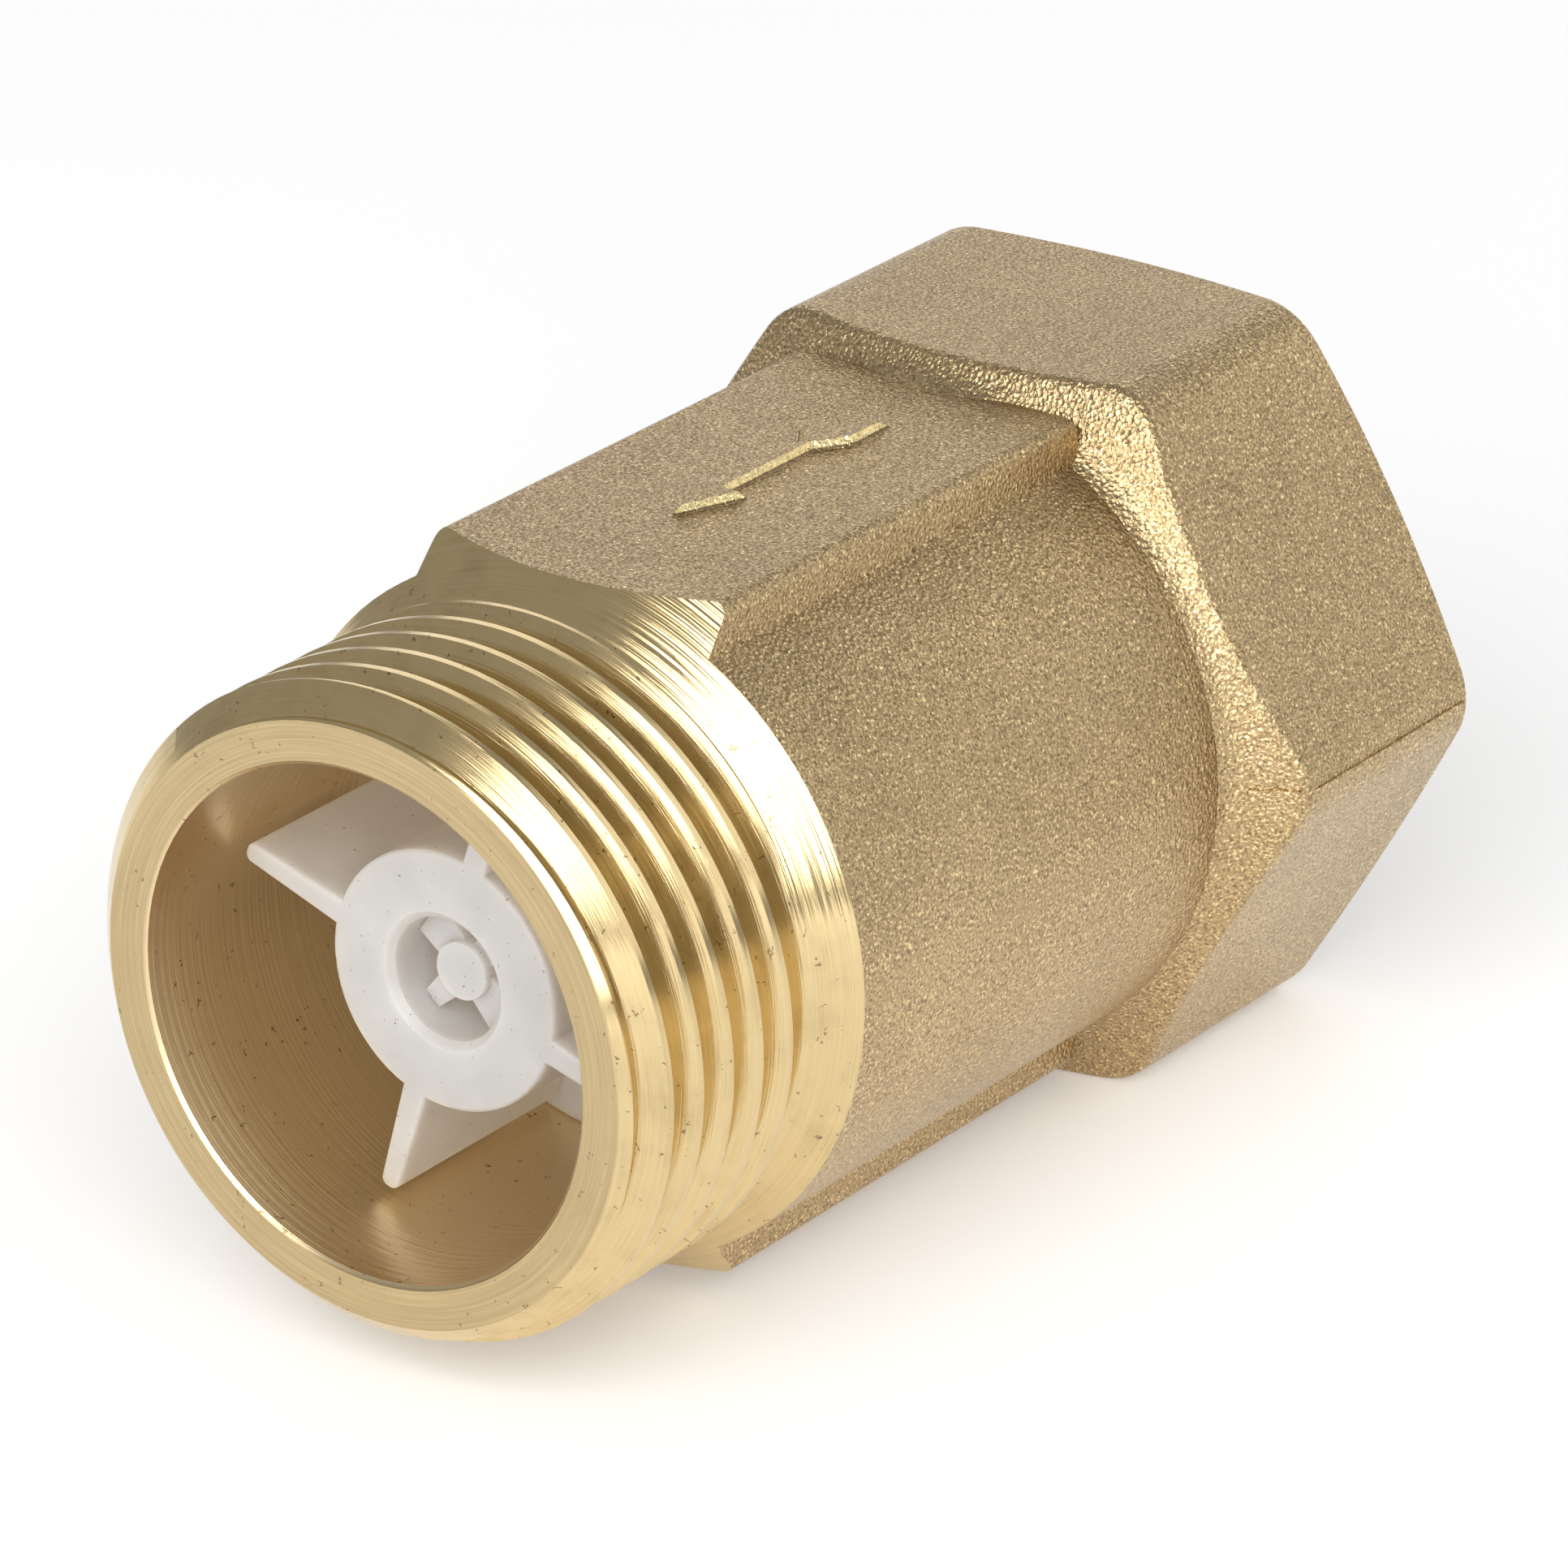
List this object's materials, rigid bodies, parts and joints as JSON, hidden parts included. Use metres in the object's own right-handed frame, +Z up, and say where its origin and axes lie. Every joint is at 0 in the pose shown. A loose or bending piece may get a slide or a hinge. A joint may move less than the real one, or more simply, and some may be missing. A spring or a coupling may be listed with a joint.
{
  "type": "spring check valve",
  "caption": "Inline spring check valve with a forged brass body, hexagon female inlet, male threaded outlet, plastic guide cage and sprung poppet.",
  "frame": {"origin": "on the valve axis, half way between the inlet face and the outlet face", "axes": "+X along the flow, from the female inlet to the male outlet; +Z up through the pad with the flow arrow"},
  "size_m": [0.05, 0.034, 0.03],
  "materials": {
    "brass": "blasted forging with bright turned ends and threads",
    "white_plastic": "moulded, slightly translucent",
    "black_rubber": "matte",
    "spring_steel": "drawn wire"
  },
  "bodies": {
    "body": {"valve_body": "brass", "guide_cage": "white_plastic", "return_spring": "spring_steel"},
    "poppet": {"poppet": "white_plastic", "seat_seal": "black_rubber", "seal_retainer": "white_plastic"}
  },
  "joints": [
    {"name": "poppet_slide", "type": "slide", "parent": "body", "child": "poppet", "axis": [1, 0, 0], "range_m": [0, 0.005], "stiffness_N_per_m": 264, "springref_m": -0.004, "deforming": ["return_spring"]}
  ]
}
